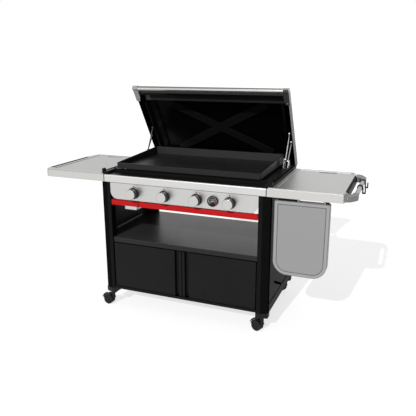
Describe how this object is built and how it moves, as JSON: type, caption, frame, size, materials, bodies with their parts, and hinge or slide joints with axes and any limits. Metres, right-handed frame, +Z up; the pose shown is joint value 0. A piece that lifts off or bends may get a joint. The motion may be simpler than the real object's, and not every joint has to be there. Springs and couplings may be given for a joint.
{
  "type": "outdoor gas griddle station",
  "caption": "Outdoor gas griddle on a cabinet cart, with a hinged lid, side tables, control knobs, a drop-down prep board, doors and casters.",
  "frame": {"origin": "on the floor, under the middle of the whole object's box as it stands with the lid open", "axes": "+X to the right as a cook stands before it, +Y from the front to the rear, +Z up"},
  "size_m": [1.9602, 0.8398, 1.3782],
  "materials": {
    "black_plastic": "matt, fine grain",
    "board_silver": "fine silver coat",
    "brass": "machined",
    "bright_stainless": "fine brushed bright stainless",
    "cast_grey": "sand-cast, painted grey",
    "foil": "soft foil",
    "galvanised": "galvanised sheet",
    "grey_plastic": "matt",
    "needle_white": "gloss",
    "painted_black": "satin powder coat",
    "porcelain_black": "gloss enamel",
    "red_paint": "satin red",
    "seasoned_steel": "seasoned rolled steel",
    "shelf_black": "semi-gloss powder coat",
    "stainless": "brushed stainless",
    "wheel_rubber": "matt tread",
    "zinc_steel": "zinc plated"
  },
  "bodies": {
    "cart": {"legs": "painted_black", "leg_feet": "grey_plastic", "side_panel_left": "painted_black", "side_panel_right": "painted_black", "cabinet_base": "painted_black", "middle_shelf": "shelf_black", "top_frame": "painted_black", "firebox": "porcelain_black", "lid_channels": "painted_black", "arm_brackets": "zinc_steel", "control_panel": "stainless", "red_rail": "red_paint", "tray_runners": "galvanised", "burners": "zinc_steel", "gas_manifold": "zinc_steel", "gas_valves": "brass", "heat_baffle": "galvanised", "thermometer_case": "black_plastic", "left_table": "stainless", "right_table": "stainless", "handle_brackets": "cast_grey", "handle_bar": "bright_stainless", "board_hinges": "painted_black"},
    "griddle": {"griddle_plate": "seasoned_steel"},
    "needle": {"thermometer_needle": "needle_white"},
    "tray": {"grease_tray": "red_paint"},
    "liner": {"tray_liner": "foil"},
    "door_left": {"door_left": "painted_black"},
    "door_right": {"door_right": "painted_black"},
    "front_arms": {"front_arms": "zinc_steel"},
    "rear_arms": {"rear_arms": "zinc_steel"},
    "lid": {"lid_shell": "porcelain_black", "lid_liner": "porcelain_black", "lid_handle_bar": "bright_stainless", "lid_handle_brackets": "cast_grey"},
    "board": {"prep_board": "board_silver"},
    "clip_front": {"hook_clip_front": "black_plastic"},
    "clip_rear": {"hook_clip_rear": "black_plastic"},
    "spindle_1": {"knob_spindle_1": "brass"},
    "knob_1": {"knob_1": "black_plastic", "knob_cap_1": "bright_stainless"},
    "spindle_2": {"knob_spindle_2": "brass"},
    "knob_2": {"knob_2": "black_plastic", "knob_cap_2": "bright_stainless"},
    "spindle_3": {"knob_spindle_3": "brass"},
    "knob_3": {"knob_3": "black_plastic", "knob_cap_3": "bright_stainless"},
    "spindle_4": {"knob_spindle_4": "brass"},
    "knob_4": {"knob_4": "black_plastic", "knob_cap_4": "bright_stainless"},
    "caster_front_left": {"caster_fork_front_left": "grey_plastic"},
    "wheels_front_left": {"caster_wheels_front_left": "wheel_rubber"},
    "brake_front_left": {"brake_lever_front_left": "black_plastic"},
    "caster_front_right": {"caster_fork_front_right": "grey_plastic"},
    "wheels_front_right": {"caster_wheels_front_right": "wheel_rubber"},
    "brake_front_right": {"brake_lever_front_right": "black_plastic"},
    "caster_rear_left": {"caster_fork_rear_left": "grey_plastic"},
    "wheels_rear_left": {"caster_wheels_rear_left": "wheel_rubber"},
    "caster_rear_right": {"caster_fork_rear_right": "grey_plastic"},
    "wheels_rear_right": {"caster_wheels_rear_right": "wheel_rubber"}
  },
  "joints": [
    {"name": "griddle_lift", "type": "slide", "parent": "cart", "child": "griddle", "axis": [0, 0, 1], "range_m": [0, 0.2]},
    {"name": "needle_turn", "type": "hinge", "parent": "cart", "child": "needle", "pos_m": [0.18085, -0.37192, 0.768], "axis": [0, 1, 0], "range_deg": [0, 264]},
    {"name": "knob_1_turn", "type": "hinge", "parent": "cart", "child": "spindle_1", "pos_m": [-0.32515, -0.37192, 0.768], "axis": [0, -1, 0], "range_deg": [0, 225]},
    {"name": "knob_1_push", "type": "slide", "parent": "spindle_1", "child": "knob_1", "axis": [0, 1, 0], "range_m": [0, 0.003], "stiffness_N_per_m": 1500},
    {"name": "knob_2_turn", "type": "hinge", "parent": "cart", "child": "spindle_2", "pos_m": [-0.12315, -0.37192, 0.768], "axis": [0, -1, 0], "range_deg": [0, 225]},
    {"name": "knob_2_push", "type": "slide", "parent": "spindle_2", "child": "knob_2", "axis": [0, 1, 0], "range_m": [0, 0.003], "stiffness_N_per_m": 1500},
    {"name": "knob_3_turn", "type": "hinge", "parent": "cart", "child": "spindle_3", "pos_m": [0.08085, -0.37192, 0.768], "axis": [0, -1, 0], "range_deg": [0, 225]},
    {"name": "knob_3_push", "type": "slide", "parent": "spindle_3", "child": "knob_3", "axis": [0, 1, 0], "range_m": [0, 0.003], "stiffness_N_per_m": 1500},
    {"name": "knob_4_turn", "type": "hinge", "parent": "cart", "child": "spindle_4", "pos_m": [0.28285, -0.37192, 0.768], "axis": [0, -1, 0], "range_deg": [0, 225]},
    {"name": "knob_4_push", "type": "slide", "parent": "spindle_4", "child": "knob_4", "axis": [0, 1, 0], "range_m": [0, 0.003], "stiffness_N_per_m": 1500},
    {"name": "door_left_swing", "type": "hinge", "parent": "cart", "child": "door_left", "pos_m": [-0.47615, -0.35692, 0.29], "axis": [0, 0, -1], "range_deg": [0, 95]},
    {"name": "door_right_swing", "type": "hinge", "parent": "cart", "child": "door_right", "pos_m": [0.43385, -0.35692, 0.29], "axis": [0, 0, 1], "range_deg": [0, 95]},
    {"name": "tray_slide", "type": "slide", "parent": "cart", "child": "tray", "axis": [0, -1, 0], "range_m": [0, 0.4]},
    {"name": "liner_lift", "type": "slide", "parent": "tray", "child": "liner", "axis": [0, 0, 1], "range_m": [0, 0.035]},
    {"name": "front_arm_swing", "type": "hinge", "parent": "cart", "child": "front_arms", "pos_m": [-0.02115, 0.15418, 0.9342], "axis": [1, 0, 0], "range_deg": [0, 124.17]},
    {"name": "lid_pivot", "type": "hinge", "parent": "front_arms", "child": "lid", "pos_m": [-0.02115, 0.23866, 1.08679], "axis": [1, 0, 0], "range_deg": [-66.47, 0]},
    {"name": "rear_arm_swing", "type": "hinge", "parent": "cart", "child": "rear_arms", "pos_m": [-0.02115, 0.17018, 0.9219], "axis": [1, 0, 0], "range_deg": [0, 136.37]},
    {"name": "board_swing", "type": "hinge", "parent": "cart", "child": "board", "pos_m": [0.68085, -0.36292, 0.815], "axis": [-1, 0, 0], "range_deg": [0, 90]},
    {"name": "clip_front_slide", "type": "slide", "parent": "cart", "child": "clip_front", "axis": [0, 1, 0], "range_m": [-0.18, 0.06]},
    {"name": "clip_rear_slide", "type": "slide", "parent": "cart", "child": "clip_rear", "axis": [0, 1, 0], "range_m": [-0.06, 0]},
    {"name": "swivel_front_left", "type": "hinge", "parent": "cart", "child": "caster_front_left", "pos_m": [-0.52115, -0.34692, 0.093], "axis": [0, 0, 1], "continuous": true},
    {"name": "roll_front_left", "type": "hinge", "parent": "caster_front_left", "child": "wheels_front_left", "pos_m": [-0.5541, -0.34519, 0.03175], "axis": [0.0523, 0.9986, 0], "continuous": true},
    {"name": "brake_front_left", "type": "hinge", "parent": "caster_front_left", "child": "brake_front_left", "pos_m": [-0.58696, -0.34347, 0.05936], "axis": [0.0523, 0.9986, 0], "range_deg": [0, 30]},
    {"name": "swivel_front_right", "type": "hinge", "parent": "cart", "child": "caster_front_right", "pos_m": [0.47885, -0.34692, 0.093], "axis": [0, 0, 1], "continuous": true},
    {"name": "roll_front_right", "type": "hinge", "parent": "caster_front_right", "child": "wheels_front_right", "pos_m": [0.44804, -0.33509, 0.03175], "axis": [0.3584, 0.9336, 0], "continuous": true},
    {"name": "brake_front_right", "type": "hinge", "parent": "caster_front_right", "child": "brake_front_right", "pos_m": [0.41733, -0.3233, 0.05936], "axis": [0.3584, 0.9336, 0], "range_deg": [0, 30]},
    {"name": "swivel_rear_left", "type": "hinge", "parent": "cart", "child": "caster_rear_left", "pos_m": [-0.52115, 0.24308, 0.093], "axis": [0, 0, 1], "continuous": true},
    {"name": "roll_rear_left", "type": "hinge", "parent": "caster_rear_left", "child": "wheels_rear_left", "pos_m": [-0.55196, 0.25491, 0.03175], "axis": [0.3584, 0.9336, 0], "continuous": true},
    {"name": "swivel_rear_right", "type": "hinge", "parent": "cart", "child": "caster_rear_right", "pos_m": [0.47885, 0.24308, 0.093], "axis": [0, 0, 1], "continuous": true},
    {"name": "roll_rear_right", "type": "hinge", "parent": "caster_rear_right", "child": "wheels_rear_right", "pos_m": [0.44804, 0.25491, 0.03175], "axis": [0.3584, 0.9336, 0], "continuous": true}
  ],
  "couplings": [
    {"joint": "lid_pivot", "follows": "front_arm_swing", "ratio": -0.53289},
    {"joint": "rear_arm_swing", "follows": "front_arm_swing", "ratio": 1.0959}
  ]
}
